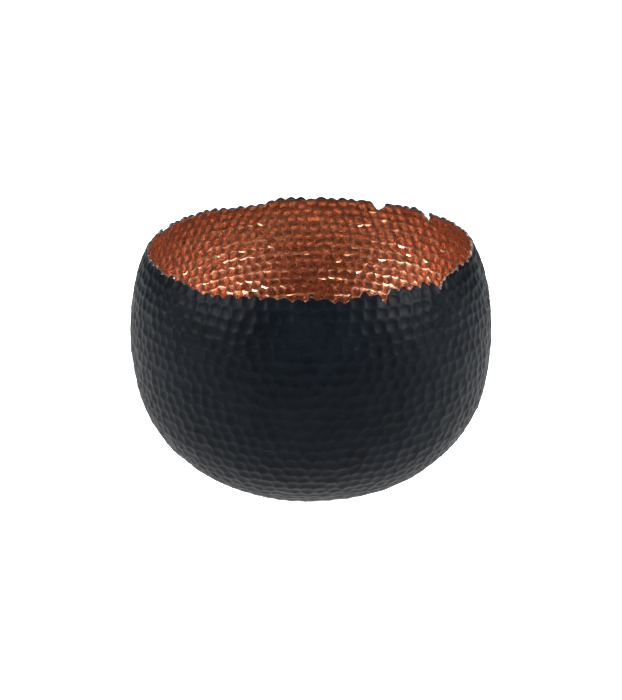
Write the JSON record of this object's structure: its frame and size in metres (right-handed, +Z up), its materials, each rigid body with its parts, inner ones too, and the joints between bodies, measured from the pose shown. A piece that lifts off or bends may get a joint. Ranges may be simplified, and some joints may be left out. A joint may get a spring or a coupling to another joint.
{
  "type": "hammered bowl",
  "caption": "Deep rounded bowl of hammered copper sheet with a ragged torn rim, matt black outside and polished copper inside, standing on small felt pads.",
  "frame": {"origin": "centre of the plane that the bowl stands on, under the middle of the base", "axes": "+Z up, through the middle of the mouth; the front of the bowl faces -Y and +X is to its right"},
  "size_m": [0.3, 0.3, 0.2011],
  "materials": {
    "polished_copper": "hammered copper sheet, polished and clear lacquered",
    "black_coat": "satin black coat over hammered copper",
    "felt": "pressed felt disc"
  },
  "bodies": {
    "root": {"copper_bowl": "polished_copper", "black_coat": "black_coat", "foot_pad_1": "felt", "foot_pad_2": "felt", "foot_pad_3": "felt", "foot_pad_4": "felt"}
  },
  "joints": []
}
